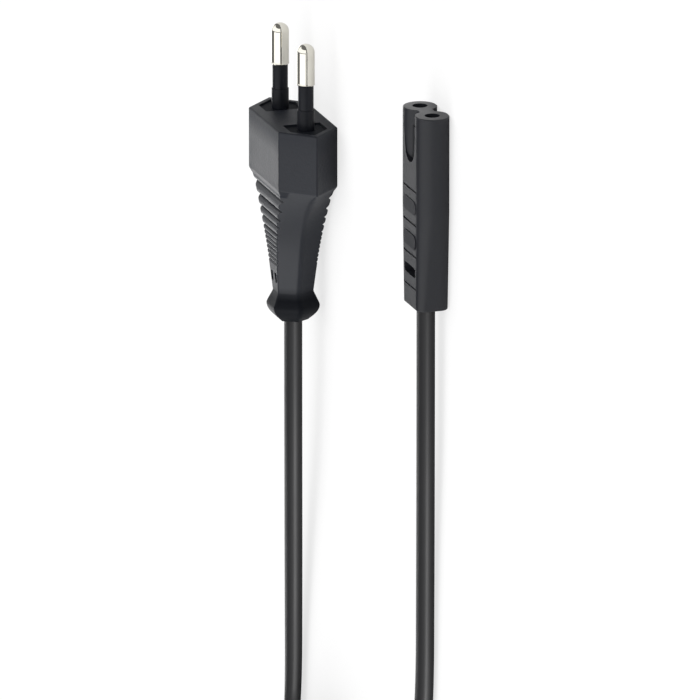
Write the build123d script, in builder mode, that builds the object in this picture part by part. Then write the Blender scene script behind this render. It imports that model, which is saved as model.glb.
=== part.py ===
# Power cord: flat two-pin mains plug, flat twin cable, figure-8 appliance connector.
# The plug and the connector lie side by side on their wide faces, pins towards +Y, and the spare
# cable is coiled behind them. The origin is on the surface they lie on, under the middle of the
# box around plug and connector. All sizes are in millimetres.

import os
from math import hypot, radians, tan

from build123d import *

os.makedirs("parts", exist_ok=True)

# Flat twin cable and what is inside it
CABLE_WIDTH = 5.7
CABLE_THICK = 3.5
CORE_DIAMETER = 2.1
CONDUCTOR_DIAMETER = 1.2
CORE_PITCH = CABLE_WIDTH - CABLE_THICK

# Head of the plug: six sides, two of them wide flats
HEAD_WIDTH = 35.3
HEAD_FLAT = 22.0
HEAD_THICK = 13.9
HEAD_LENGTH = 13.9
HEAD_EDGE = 0.4
HEAD_RIM = 0.25

# Grip and collar, as sections: distance behind the head, width over the points, flat, thickness
GRIP_SECTIONS = [
    (1.3, 32.4, 20.4, 12.6),
    (4.6, 24.6, 16.6, 12.1),
    (8.0, 18.6, 13.4, 11.7),
    (12.0, 14.6, 10.3, 11.0),
    (18.0, 12.1, 7.0, 9.9),
    (26.6, 9.0, 4.2, 8.4),
]
COLLAR_SECTIONS = [
    GRIP_SECTIONS[-1],
    (27.6, 9.8, 4.8, 9.3),
    (28.6, 11.0, 5.6, 10.1),
    (29.5, 11.8, 6.0, 10.8),
    (30.3, 11.7, 6.0, 10.7),
    (31.3, 10.8, 5.4, 9.9),
    (33.2, 7.0, 3.4, 6.2),
]
PLUG_LENGTH = HEAD_LENGTH + COLLAR_SECTIONS[-1][0]

# Grooves that leave finger ribs across both wide faces of the grip
GROOVE_STATIONS = [2.9, 5.75, 8.1, 10.05, 12.0]
GROOVE_RADIUS = 0.6
GROOVE_DEPTH = 0.5
FINE_GROOVE_COUNT = 7
FINE_GROOVE_FIRST = 13.2
FINE_GROOVE_PITCH = 1.05
FINE_GROOVE_RADIUS = 0.35
FINE_GROOVE_DEPTH = 0.25

# Contact pins and their sleeves
PIN_SPACING = 18.8
PIN_DIAMETER = 4.0
PIN_LENGTH = 19.5
PIN_NECK_DIAMETER = 2.8
PIN_FLANGE_DIAMETER = 5.2
PIN_FLANGE_LENGTH = 1.2
SLEEVE_LENGTH = 10.0
SLEEVE_DIAMETER = 3.5
SLEEVE_BASE_DIAMETER = 3.9
SLEEVE_BASE_LENGTH = 4.3
SLEEVE_SEAT = 1.6

# Crimp barrels, the same at both ends of the cord
BARREL_DIAMETER = 2.9
BARREL_LENGTH = 6.0
BARREL_BORE_LENGTH = 5.0
STRIP_GAP = 1.2
CORE_RUN_OUT = 1.6

# Insert that carries the pins
CARRIER_WALL = 1.3
CARRIER_COVER = 2.6
CARRIER_LENGTH = 8.5
WINDOW_DEPTH = 0.45
FACE_BRIDGE = 12.2

# Sheathed cable held inside each moulding, and the mould's locating windows over it
SHEATH_HELD = 13.2
LOCATOR_WIDTH = 1.3
LOCATOR_LENGTH = 2.3
LOCATOR_PITCH = 2.7
LOCATOR_FROM_END = 10.2

# Figure-8 connector
CONTACT_SPACING = 8.6
NOSE_THICK = 7.6
NOSE_SIDE = 0.1
NOSE_LENGTH = 22.0
NOSE_EDGE = 0.4
WEB_THICK = 3.4
NOTCH_WIDTH = 6.2
NOTCH_LENGTH = 11.4
CONNECTOR_LENGTH = 44.6
TAIL_WIDTH = 12.0
TAIL_THICK = 7.3
TAIL_CORNER = 2.0
NOSE_WIDTH = CONTACT_SPACING + NOSE_THICK
NOSE_CORNER = (NOSE_THICK - NOSE_SIDE) / 2

# Marks of the connector's wide faces
LINE_STATIONS = [17.4, 25.1, 32.4, 39.8]
LINE_LENGTH = 8.8
LINE_WIDTH = 0.45
LINE_DEPTH = 0.3
PAD_STATIONS = [21.3, 29.2]
PAD_WIDTH = 8.4
PAD_LENGTH = 3.2
PAD_HEIGHT = 0.2
SLOT_STATION = 36.2
SLOT_WIDTH = 7.4
SLOT_LENGTH = 1.75
SLOT_CORNER = 0.6

# Spring contacts and the insert that carries them
FACE_HOLE_DIAMETER = 3.4
CONTACT_SETBACK = 2.4
CONTACT_BORE = 2.4
CONTACT_DIAMETER = 3.5
CONTACT_DEPTH = 9.0
CONTACT_FLOOR = 1.0
CONTACT_SLIT = 0.4
CONTACT_SLIT_LENGTH = 6.0
INSERT_SETBACK = 3.6
INSERT_LENGTH = 8.0
INSERT_WIDTH = 14.0
INSERT_THICK = 5.2

# Coil of the spare cable and its tie
COIL_X = -23.0
COIL_Y = -163.0
COIL_INNER_RADIUS = 22.5
COIL_OUTER_RADIUS = 37.4
COIL_HEIGHT = 11.6
COIL_CORNER = 1.2
TIE_THICK = 0.6
TIE_ANGLE = 9.0

# Where the plug and the connector lie
CONNECTOR_OFFSET = 86.0
CONNECTOR_LEAD = 24.35
PLUG_X = -(CONNECTOR_OFFSET + (NOSE_WIDTH - HEAD_WIDTH) / 2) / 2
PLUG_Y = (PLUG_LENGTH - CONNECTOR_LEAD) / 2
PLUG_Z = HEAD_THICK / 2
CONNECTOR_X = PLUG_X + CONNECTOR_OFFSET
CONNECTOR_Y = PLUG_Y + CONNECTOR_LEAD
CONNECTOR_Z = NOSE_THICK / 2


def plug_plane(distance):
    """Plane across the plug, behind the pin face, with its normal towards the cord."""
    return Plane(origin=(PLUG_X, PLUG_Y - distance, PLUG_Z), x_dir=(1, 0, 0), z_dir=(0, -1, 0))


def connector_plane(distance):
    """Plane across the connector, behind its contact face, with its normal towards the cord."""
    return Plane(
        origin=(CONNECTOR_X, CONNECTOR_Y - distance, CONNECTOR_Z), x_dir=(1, 0, 0), z_dir=(0, -1, 0)
    )


def six_sided(width, flat, thick):
    """Draws the six-sided outline of the plug: two wide flats with a point at each side."""
    Polygon(
        (-width / 2, 0),
        (-flat / 2, thick / 2),
        (flat / 2, thick / 2),
        (width / 2, 0),
        (flat / 2, -thick / 2),
        (-flat / 2, -thick / 2),
        align=None,
    )


def thick_at(distance):
    """Thickness of the grip at a distance behind the head."""
    for near, far in zip(GRIP_SECTIONS, GRIP_SECTIONS[1:]):
        if near[0] <= distance <= far[0]:
            share = (distance - near[0]) / (far[0] - near[0])
            return near[3] + share * (far[3] - near[3])
    return GRIP_SECTIONS[-1][3]


def route_radii(points):
    """Largest radius that the runs beside each corner of a cable route allow."""
    radii = []
    for before, corner, after in zip(points, points[1:], points[2:]):
        run_in = Vector(corner) - Vector(before)
        run_out = Vector(after) - Vector(corner)
        half_turn = radians(run_in.get_angle(run_out)) / 2
        radii.append(0.45 * min(run_in.length, run_out.length) / tan(half_turn))
    return radii


# Contact pins: turned brass, with a rounded tip, a neck for the sleeve and a crimp barrel
FLANGE_TOP = -(WINDOW_DEPTH + SLEEVE_SEAT)
BARREL_TOP = -(WINDOW_DEPTH + CARRIER_LENGTH)
BARREL_END = BARREL_TOP - BARREL_LENGTH
plug_pins = {}
for side, sign in (("left", -1), ("right", 1)):
    pin_x = PLUG_X + sign * PIN_SPACING / 2
    with BuildPart() as pin:
        with BuildSketch(Plane(origin=(pin_x, PLUG_Y, PLUG_Z))):
            with BuildLine():
                Line((0, BARREL_END), (0, PIN_LENGTH))
                RadiusArc(
                    (0, PIN_LENGTH), (PIN_DIAMETER / 2, PIN_LENGTH - PIN_DIAMETER / 2), PIN_DIAMETER / 2
                )
                Polyline(
                    (PIN_DIAMETER / 2, PIN_LENGTH - PIN_DIAMETER / 2),
                    (PIN_DIAMETER / 2, SLEEVE_LENGTH),
                    (PIN_NECK_DIAMETER / 2, SLEEVE_LENGTH),
                    (PIN_NECK_DIAMETER / 2, FLANGE_TOP),
                    (PIN_FLANGE_DIAMETER / 2, FLANGE_TOP),
                    (PIN_FLANGE_DIAMETER / 2, FLANGE_TOP - PIN_FLANGE_LENGTH),
                    (BARREL_DIAMETER / 2, FLANGE_TOP - PIN_FLANGE_LENGTH),
                    (BARREL_DIAMETER / 2, BARREL_END),
                    (0, BARREL_END),
                )
            make_face()
        revolve(axis=Axis((pin_x, PLUG_Y, PLUG_Z), (0, 1, 0)))
        with BuildSketch(plug_plane(-BARREL_END)):
            with Locations((sign * PIN_SPACING / 2, 0)):
                Circle(CONDUCTOR_DIAMETER / 2)
        extrude(amount=-BARREL_BORE_LENGTH, mode=Mode.SUBTRACT)
    plug_pins[side] = pin.part

# Sleeves: black insulation moulded on the pins' necks, thicker at the base
pin_sleeves = {}
for side, sign in (("left", -1), ("right", 1)):
    pin_x = PLUG_X + sign * PIN_SPACING / 2
    with BuildPart() as sleeve:
        with BuildSketch(Plane(origin=(pin_x, PLUG_Y, PLUG_Z))):
            with BuildLine():
                Polyline(
                    (PIN_NECK_DIAMETER / 2, SLEEVE_LENGTH),
                    (SLEEVE_DIAMETER / 2, SLEEVE_LENGTH),
                    (SLEEVE_DIAMETER / 2, SLEEVE_BASE_LENGTH),
                    (SLEEVE_BASE_DIAMETER / 2, SLEEVE_BASE_LENGTH),
                    (SLEEVE_BASE_DIAMETER / 2, FLANGE_TOP),
                    (PIN_NECK_DIAMETER / 2, FLANGE_TOP),
                    close=True,
                )
            make_face()
        revolve(axis=Axis((pin_x, PLUG_Y, PLUG_Z), (0, 1, 0)))
    pin_sleeves[side] = sleeve.part

# Pin carrier: hard insert with the head's outline, a wall smaller
HEAD_SLANT = hypot((HEAD_WIDTH - HEAD_FLAT) / 2, HEAD_THICK / 2)
CARRIER_THICK = HEAD_THICK - 2 * CARRIER_COVER
CARRIER_WIDTH = HEAD_WIDTH - 2 * CARRIER_WALL * HEAD_SLANT / (HEAD_THICK / 2)
CARRIER_FLAT = CARRIER_WIDTH - (HEAD_WIDTH - HEAD_FLAT) * CARRIER_THICK / HEAD_THICK
with BuildPart() as pin_carrier:
    with BuildSketch(plug_plane(WINDOW_DEPTH)):
        six_sided(CARRIER_WIDTH, CARRIER_FLAT, CARRIER_THICK)
    extrude(amount=CARRIER_LENGTH)
    for side in plug_pins:
        add(plug_pins[side], mode=Mode.SUBTRACT)
        add(pin_sleeves[side], mode=Mode.SUBTRACT)

# Stripped conductors and insulated cores in the plug
CORE_START = -BARREL_END + STRIP_GAP
SHEATH_START = PLUG_LENGTH - SHEATH_HELD
plug_conductors = {}
plug_cores = {}
for side, sign in (("left", -1), ("right", 1)):
    with BuildPart() as conductor:
        with BuildSketch(plug_plane(-BARREL_END - BARREL_BORE_LENGTH)):
            with Locations((sign * PIN_SPACING / 2, 0)):
                Circle(CONDUCTOR_DIAMETER / 2)
        extrude(amount=BARREL_BORE_LENGTH + STRIP_GAP)
    plug_conductors[side] = conductor.part
    pin_x = PLUG_X + sign * PIN_SPACING / 2
    core_x = PLUG_X + sign * CORE_PITCH / 2
    core_points = [
        (pin_x, PLUG_Y - CORE_START, PLUG_Z),
        (pin_x, PLUG_Y - CORE_START - CORE_RUN_OUT, PLUG_Z),
        (core_x, PLUG_Y - SHEATH_START + CORE_RUN_OUT, PLUG_Z),
        (core_x, PLUG_Y - SHEATH_START, PLUG_Z),
    ]
    with BuildPart() as core:
        with BuildLine() as core_path:
            FilletPolyline(*core_points, radius=route_radii(core_points))
        with BuildSketch(plug_plane(CORE_START)):
            with Locations((sign * PIN_SPACING / 2, 0)):
                Circle(CORE_DIAMETER / 2)
        sweep(path=core_path.wires()[0])
    plug_cores[side] = core.part

# Spring contacts: rolled brass sockets, slit from the mouth, with a crimp barrel behind
SOCKET_END = CONTACT_SETBACK + CONTACT_DEPTH
CONTACT_BARREL_START = SOCKET_END + CONTACT_FLOOR
CONTACT_END = CONTACT_BARREL_START + BARREL_LENGTH
contacts = {}
for side, sign in (("left", -1), ("right", 1)):
    with BuildPart() as contact:
        with Locations(connector_plane(0)):
            with Locations((sign * CONTACT_SPACING / 2, 0, CONTACT_SETBACK)):
                Cylinder(
                    CONTACT_DIAMETER / 2,
                    CONTACT_DEPTH + CONTACT_FLOOR,
                    align=(Align.CENTER, Align.CENTER, Align.MIN),
                )
                Cylinder(
                    CONTACT_BORE / 2,
                    CONTACT_DEPTH,
                    align=(Align.CENTER, Align.CENTER, Align.MIN),
                    mode=Mode.SUBTRACT,
                )
                Box(
                    CONTACT_SLIT,
                    2 * CONTACT_DIAMETER,
                    CONTACT_SLIT_LENGTH,
                    align=(Align.CENTER, Align.CENTER, Align.MIN),
                    mode=Mode.SUBTRACT,
                )
            with Locations((sign * CONTACT_SPACING / 2, 0, CONTACT_BARREL_START)):
                Cylinder(
                    BARREL_DIAMETER / 2,
                    BARREL_LENGTH,
                    align=(Align.CENTER, Align.CENTER, Align.MIN),
                )
            with Locations((sign * CONTACT_SPACING / 2, 0, CONTACT_END)):
                Cylinder(
                    CONDUCTOR_DIAMETER / 2,
                    BARREL_BORE_LENGTH,
                    align=(Align.CENTER, Align.CENTER, Align.MAX),
                    mode=Mode.SUBTRACT,
                )
    contacts[side] = contact.part

# Contact carrier: hard insert round both sockets
with BuildPart() as contact_carrier:
    with BuildSketch(connector_plane(INSERT_SETBACK)):
        SlotOverall(INSERT_WIDTH, INSERT_THICK)
    extrude(amount=INSERT_LENGTH)
    with BuildSketch(connector_plane(INSERT_SETBACK)):
        with GridLocations(CONTACT_SPACING, 1, 2, 1):
            Circle(CONTACT_DIAMETER / 2)
    extrude(amount=INSERT_LENGTH, mode=Mode.SUBTRACT)

# Stripped conductors and insulated cores in the connector
CONNECTOR_CORE_START = CONTACT_END + STRIP_GAP
CONNECTOR_SHEATH_START = CONNECTOR_LENGTH - SHEATH_HELD
connector_conductors = {}
connector_cores = {}
for side, sign in (("left", -1), ("right", 1)):
    with BuildPart() as conductor:
        with BuildSketch(connector_plane(CONTACT_END - BARREL_BORE_LENGTH)):
            with Locations((sign * CONTACT_SPACING / 2, 0)):
                Circle(CONDUCTOR_DIAMETER / 2)
        extrude(amount=BARREL_BORE_LENGTH + STRIP_GAP)
    connector_conductors[side] = conductor.part
    contact_x = CONNECTOR_X + sign * CONTACT_SPACING / 2
    core_x = CONNECTOR_X + sign * CORE_PITCH / 2
    core_points = [
        (contact_x, CONNECTOR_Y - CONNECTOR_CORE_START, CONNECTOR_Z),
        (contact_x, CONNECTOR_Y - CONNECTOR_CORE_START - CORE_RUN_OUT, CONNECTOR_Z),
        (core_x, CONNECTOR_Y - CONNECTOR_SHEATH_START + CORE_RUN_OUT, CONNECTOR_Z),
        (core_x, CONNECTOR_Y - CONNECTOR_SHEATH_START, CONNECTOR_Z),
    ]
    with BuildPart() as core:
        with BuildLine() as core_path:
            FilletPolyline(*core_points, radius=route_radii(core_points))
        with BuildSketch(connector_plane(CONNECTOR_CORE_START)):
            with Locations((sign * CONTACT_SPACING / 2, 0)):
                Circle(CORE_DIAMETER / 2)
        sweep(path=core_path.wires()[0])
    connector_cores[side] = core.part

# Coil: outer shape of the wound cable, two layers high, and the tie round it
COIL_WIDTH = COIL_OUTER_RADIUS - COIL_INNER_RADIUS
COIL_MIDDLE = ((COIL_INNER_RADIUS + COIL_OUTER_RADIUS) / 2, TIE_THICK + COIL_HEIGHT / 2)
with BuildPart() as cable_coil:
    with BuildSketch(Plane(origin=(COIL_X, COIL_Y, 0), x_dir=(1, 0, 0), z_dir=(0, -1, 0))) as coil_section:
        with Locations(COIL_MIDDLE):
            Rectangle(COIL_WIDTH, COIL_HEIGHT)
        chamfer(coil_section.vertices(), COIL_CORNER)
    revolve(axis=Axis((COIL_X, COIL_Y, 0), (0, 0, 1)))

with BuildPart() as coil_tie:
    with BuildSketch(Plane(origin=(COIL_X, COIL_Y, 0), x_dir=(0, -1, 0), z_dir=(-1, 0, 0))) as tie_section:
        with Locations(COIL_MIDDLE):
            Rectangle(COIL_WIDTH, COIL_HEIGHT)
        chamfer(tie_section.vertices(), COIL_CORNER)
        offset(amount=TIE_THICK, kind=Kind.INTERSECTION)
    revolve(axis=Axis((COIL_X, COIL_Y, 0), (0, 0, 1)), revolution_arc=TIE_ANGLE)
    add(cable_coil.part, mode=Mode.SUBTRACT)

# Cable runs: straight out of each moulding, down to the surface and on to the coil
PLUG_RUN = [
    (PLUG_X, PLUG_Y - SHEATH_START, PLUG_Z),
    (PLUG_X, -58.0, PLUG_Z),
    (-48.2, -97.0, 3.7),
    (-53.5, -136.0, 2.0),
    (-56.0, -157.0, 3.5),
    (-55.4, -168.0, 3.5),
]
CONNECTOR_RUN = [
    (CONNECTOR_X, CONNECTOR_Y - CONNECTOR_SHEATH_START, CONNECTOR_Z),
    (CONNECTOR_X, -32.0, CONNECTOR_Z),
    (44.0, -70.0, 2.6),
    (41.8, -109.0, 2.0),
    (32.6, -134.5, 2.5),
    (21.0, -158.0, 5.8),
    (6.6, -181.2, 9.2),
]
with BuildPart() as cable_plug_run:
    with BuildLine() as plug_route:
        FilletPolyline(*PLUG_RUN, radius=route_radii(PLUG_RUN))
    with BuildSketch(plug_plane(SHEATH_START)):
        SlotOverall(CABLE_WIDTH, CABLE_THICK)
    sweep(path=plug_route.wires()[0])
    add(cable_coil.part, mode=Mode.SUBTRACT)
with BuildPart() as cable_connector_run:
    with BuildLine() as connector_route:
        FilletPolyline(*CONNECTOR_RUN, radius=route_radii(CONNECTOR_RUN))
    with BuildSketch(connector_plane(CONNECTOR_SHEATH_START)):
        SlotOverall(CABLE_WIDTH, CABLE_THICK)
    sweep(path=connector_route.wires()[0])
    add(cable_coil.part, mode=Mode.SUBTRACT)
print("plug run radii", [round(r, 1) for r in route_radii(PLUG_RUN)])
print("connector run radii", [round(r, 1) for r in route_radii(CONNECTOR_RUN)])

# Plug body: one moulding over everything inside it
with BuildPart() as plug_body:
    with BuildSketch(plug_plane(0)):
        six_sided(HEAD_WIDTH, HEAD_FLAT, HEAD_THICK)
    extrude(amount=HEAD_LENGTH)
    fillet(plug_body.edges().filter_by(Axis.Y), HEAD_EDGE)
    chamfer(plug_body.faces().sort_by(Axis.Y)[-1].edges(), HEAD_RIM)
    # Slanted step from the head to the grip
    with BuildSketch(plug_plane(HEAD_LENGTH)):
        six_sided(HEAD_WIDTH, HEAD_FLAT, HEAD_THICK)
    with BuildSketch(plug_plane(HEAD_LENGTH + GRIP_SECTIONS[0][0])):
        six_sided(*GRIP_SECTIONS[0][1:])
    loft(ruled=True)
    # Grip, waisted to the neck in smooth curves, and the flared collar in straight facets
    for sections, straight in ((GRIP_SECTIONS, False), (COLLAR_SECTIONS, True)):
        for distance, width, flat, thick in sections:
            with BuildSketch(plug_plane(HEAD_LENGTH + distance)):
                six_sided(width, flat, thick)
        loft(ruled=straight)
    # Finger ribs, left between grooves
    fine_stations = [FINE_GROOVE_FIRST + i * FINE_GROOVE_PITCH for i in range(FINE_GROOVE_COUNT)]
    grooves = [(station, GROOVE_RADIUS, GROOVE_DEPTH) for station in GROOVE_STATIONS]
    grooves += [(station, FINE_GROOVE_RADIUS, FINE_GROOVE_DEPTH) for station in fine_stations]
    for station, radius, depth in grooves:
        groove_plane = Plane(
            origin=(PLUG_X, PLUG_Y - HEAD_LENGTH - station, PLUG_Z), x_dir=(0, -1, 0), z_dir=(-1, 0, 0)
        )
        with BuildSketch(groove_plane):
            with GridLocations(1, thick_at(station) + 2 * (radius - depth), 1, 2):
                Circle(radius)
        extrude(amount=HEAD_WIDTH / 2, both=True, mode=Mode.SUBTRACT)
    # Windows in the pin face that show the carrier
    with BuildSketch(plug_plane(0)):
        six_sided(CARRIER_WIDTH, CARRIER_FLAT, CARRIER_THICK)
        Rectangle(FACE_BRIDGE, HEAD_THICK, mode=Mode.SUBTRACT)
    extrude(amount=WINDOW_DEPTH, mode=Mode.SUBTRACT)
    # Locating windows over the sheathed cable, through both wide faces
    with BuildSketch(Plane(origin=(PLUG_X, PLUG_Y - PLUG_LENGTH + LOCATOR_FROM_END, PLUG_Z))):
        with GridLocations(LOCATOR_PITCH, 1, 2, 1):
            Rectangle(LOCATOR_WIDTH, LOCATOR_LENGTH)
    extrude(amount=HEAD_THICK / 2, both=True, mode=Mode.SUBTRACT)
    # Room for the pieces inside
    add(pin_carrier.part, mode=Mode.SUBTRACT)
    for side in plug_pins:
        for piece in (plug_pins[side], pin_sleeves[side], plug_conductors[side], plug_cores[side]):
            add(piece, mode=Mode.SUBTRACT)
    add(cable_plug_run.part, mode=Mode.SUBTRACT)

# Connector body: figure-8 nose and tapering tail, moulded over the contacts
with BuildPart() as notch_cutter:
    with BuildSketch(Plane(origin=(CONNECTOR_X, CONNECTOR_Y, CONNECTOR_Z + WEB_THICK / 2))):
        with Locations((0, -NOTCH_LENGTH + NOTCH_WIDTH / 2)):
            Circle(NOTCH_WIDTH / 2)
            Rectangle(NOTCH_WIDTH, NOTCH_LENGTH, align=(Align.CENTER, Align.MIN))
    extrude(amount=NOSE_THICK)
    with BuildSketch(connector_plane(-NOTCH_LENGTH)):
        with GridLocations(CONTACT_SPACING, 1, 2, 1):
            Circle(NOSE_THICK / 2)
    extrude(amount=3 * NOTCH_LENGTH, mode=Mode.SUBTRACT)
    mirror(about=Plane(origin=(CONNECTOR_X, CONNECTOR_Y, CONNECTOR_Z)))
with BuildPart() as connector_body:
    with BuildSketch(connector_plane(0)):
        RectangleRounded(NOSE_WIDTH, NOSE_THICK, NOSE_CORNER)
    extrude(amount=NOSE_LENGTH)
    chamfer(connector_body.faces().sort_by(Axis.Y)[-1].edges(), NOSE_EDGE)
    with BuildSketch(connector_plane(NOSE_LENGTH)):
        RectangleRounded(NOSE_WIDTH, NOSE_THICK, NOSE_CORNER)
    with BuildSketch(connector_plane(CONNECTOR_LENGTH)):
        RectangleRounded(TAIL_WIDTH, TAIL_THICK, TAIL_CORNER)
    loft(ruled=True)
    chamfer(connector_body.faces().sort_by(Axis.Y)[0].edges(), NOSE_EDGE)
    add(notch_cutter.part, mode=Mode.SUBTRACT)
    # Contact holes, open to the sockets
    with BuildSketch(connector_plane(0)):
        with GridLocations(CONTACT_SPACING, 1, 2, 1):
            Circle(FACE_HOLE_DIAMETER / 2)
    extrude(amount=CONTACT_SETBACK, mode=Mode.SUBTRACT)
    with BuildSketch(connector_plane(CONTACT_SETBACK)):
        with GridLocations(CONTACT_SPACING, 1, 2, 1):
            Circle(CONTACT_DIAMETER / 2)
    extrude(amount=CONTACT_DEPTH, mode=Mode.SUBTRACT)
    # Lines and the locating slot across both wide faces, plain pads on the upper one
    for station in LINE_STATIONS:
        with Locations(connector_plane(station)):
            with GridLocations(1, NOSE_THICK, 1, 2):
                Box(LINE_LENGTH, 2 * LINE_DEPTH, LINE_WIDTH, mode=Mode.SUBTRACT)
    for sign in (-1, 1):
        slot_floor = CONNECTOR_Z + sign * CABLE_THICK / 2
        with BuildSketch(Plane(origin=(CONNECTOR_X, CONNECTOR_Y - SLOT_STATION, slot_floor))):
            RectangleRounded(SLOT_WIDTH, SLOT_LENGTH, SLOT_CORNER)
        extrude(amount=sign * NOSE_THICK / 2, mode=Mode.SUBTRACT)
    for station in PAD_STATIONS:
        with BuildSketch(Plane(origin=(CONNECTOR_X, CONNECTOR_Y - station, CONNECTOR_Z + TAIL_THICK / 2))):
            SlotOverall(PAD_WIDTH, PAD_LENGTH)
        extrude(amount=(NOSE_THICK - TAIL_THICK) / 2 + PAD_HEIGHT)
    # Room for the pieces inside
    add(contact_carrier.part, mode=Mode.SUBTRACT)
    for side in contacts:
        for piece in (contacts[side], connector_conductors[side], connector_cores[side]):
            add(piece, mode=Mode.SUBTRACT)
    add(cable_connector_run.part, mode=Mode.SUBTRACT)

# One file for each piece
CORE_COLOURS = {"left": "brown", "right": "blue"}
pieces = {
    "plug_body": plug_body.part,
    "pin_carrier": pin_carrier.part,
    "connector_body": connector_body.part,
    "contact_carrier": contact_carrier.part,
    "cable_plug_run": cable_plug_run.part,
    "cable_coil": cable_coil.part,
    "cable_connector_run": cable_connector_run.part,
    "coil_tie": coil_tie.part,
}
for side, colour in CORE_COLOURS.items():
    pieces[f"plug_pin_{side}"] = plug_pins[side]
    pieces[f"pin_sleeve_{side}"] = pin_sleeves[side]
    pieces[f"plug_conductor_{side}"] = plug_conductors[side]
    pieces[f"plug_core_{colour}"] = plug_cores[side]
    pieces[f"contact_{side}"] = contacts[side]
    pieces[f"connector_conductor_{side}"] = connector_conductors[side]
    pieces[f"connector_core_{colour}"] = connector_cores[side]
for name, piece in pieces.items():
    piece.label = name
    export_step(piece, f"parts/{name}.step")
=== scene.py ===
from math import cos, pi, radians, sin, sqrt, tan, tau

import bmesh
import bpy
from mathutils import Matrix, Vector


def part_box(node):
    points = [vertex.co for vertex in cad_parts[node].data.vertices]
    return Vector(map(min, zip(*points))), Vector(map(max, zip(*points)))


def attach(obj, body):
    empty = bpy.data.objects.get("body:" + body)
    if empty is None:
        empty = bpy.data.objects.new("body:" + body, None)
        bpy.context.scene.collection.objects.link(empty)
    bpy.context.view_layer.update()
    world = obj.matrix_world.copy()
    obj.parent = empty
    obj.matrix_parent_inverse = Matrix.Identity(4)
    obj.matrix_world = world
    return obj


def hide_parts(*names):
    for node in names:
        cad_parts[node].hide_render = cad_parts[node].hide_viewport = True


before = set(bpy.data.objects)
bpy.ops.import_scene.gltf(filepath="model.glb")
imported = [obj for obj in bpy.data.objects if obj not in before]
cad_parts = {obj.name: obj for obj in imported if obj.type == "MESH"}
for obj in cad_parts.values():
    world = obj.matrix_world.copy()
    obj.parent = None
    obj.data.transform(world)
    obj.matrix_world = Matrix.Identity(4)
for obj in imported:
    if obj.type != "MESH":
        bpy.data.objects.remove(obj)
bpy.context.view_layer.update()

# Contact pins: turned from brass rod and nickel plated, each with a domed tip and a thin neck that
# the sleeve grips. They are pressed into the carrier up to a flange, with a crimp barrel behind it.
MM = 0.001
TURNED_SIDES = 72
CRISP_ANGLE = 32
PIN_RADIUS = 2.0
PIN_TIP_CORNER = 1.9
PIN_TIP_ARC = (86, 0, 14)
PIN_NECK_RADIUS = 1.4
PIN_FLANGE_RADIUS = 2.6
PIN_BEAD = 0.06
PIN_FLANGE = (-2.05, -3.25)
BARREL_RADIUS = 1.45
BARREL_BORE_RADIUS = 0.6
BARREL_END = -14.95
BARREL_BORE_DEPTH = 5.0
SLEEVE_TOP = 10.0
PLUG_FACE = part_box("plug_body")[1].y
PLUG_X = sum(corner.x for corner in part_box("plug_body")) / 2
PLUG_Z = sum(corner.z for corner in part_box("plug_body")) / 2


def turned(name, profile, centre):
    """A piece turned about a line along Y: the profile is (radius, distance) in millimetres.

    A profile that doesn't start on the line is a ring's section, and its last point joins its first.
    """
    mesh = bmesh.new()
    rings = []
    for radius, along in profile:
        sides = TURNED_SIDES if radius > 0 else 1
        ring = []
        for i in range(sides):
            angle = tau * i / sides
            spot = Vector((radius * cos(angle), along, radius * sin(angle)))
            ring.append(mesh.verts.new(centre + spot * MM))
        rings.append(ring)
    pairs = list(zip(rings, rings[1:]))
    if profile[0][0] > 0:
        pairs.append((rings[-1], rings[0]))
    for near, far in pairs:
        for i in range(TURNED_SIDES):
            corners = []
            for ring, place in ((near, i), (near, i + 1), (far, i + 1), (far, i)):
                vert = ring[place % len(ring)]
                if vert not in corners:
                    corners.append(vert)
            mesh.faces.new(corners)
    return as_piece(name, mesh)


def as_piece(name, mesh):
    """Makes an object of a finished bmesh, smooth where its faces run on and crisp at its edges."""
    bmesh.ops.recalc_face_normals(mesh, faces=mesh.faces)
    data = bpy.data.meshes.new(name)
    mesh.to_mesh(data)
    mesh.free()
    piece = bpy.data.objects.new(name, data)
    bpy.context.scene.collection.objects.link(piece)
    shade(piece)
    return piece


def shade(piece):
    """Smooth shading, with the sharper edges kept crisp."""
    piece.data.shade_smooth()
    piece.data.set_sharp_from_angle(angle=radians(CRISP_ANGLE))


def arc(centre, radius, start, end, steps):
    """Points of a circular arc in the plane of a profile, from one angle in degrees to another."""
    points = []
    for i in range(steps + 1):
        angle = radians(start + (end - start) * i / steps)
        points.append((centre[0] + radius * cos(angle), centre[1] + radius * sin(angle)))
    return points


def new_material(name):
    """An empty node material, with its tree, its principled shader and its object coordinates."""
    material = bpy.data.materials.new(name)
    material.use_nodes = True
    tree = material.node_tree
    place = tree.nodes.new("ShaderNodeTexCoord").outputs["Object"]
    return material, tree, tree.nodes["Principled BSDF"], place


def noise(tree, place, scale, detail=2.0, roughness=0.5):
    """A noise pattern on the coordinates that a socket gives."""
    node = tree.nodes.new("ShaderNodeTexNoise")
    node.inputs["Scale"].default_value = scale
    node.inputs["Detail"].default_value = detail
    node.inputs["Roughness"].default_value = roughness
    tree.links.new(place, node.inputs["Vector"])
    return node.outputs["Fac"]


def colour_mix(tree, share, first, second):
    """A colour between two others; each is a colour, or the socket that gives it."""
    node = tree.nodes.new("ShaderNodeMix")
    node.data_type = "RGBA"
    tree.links.new(share, node.inputs["Factor"])
    for name, colour in (("A", first), ("B", second)):
        if isinstance(colour, tuple):
            node.inputs[name].default_value = (*colour, 1)
        else:
            tree.links.new(colour, node.inputs[name])
    return node.outputs["Result"]


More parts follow.
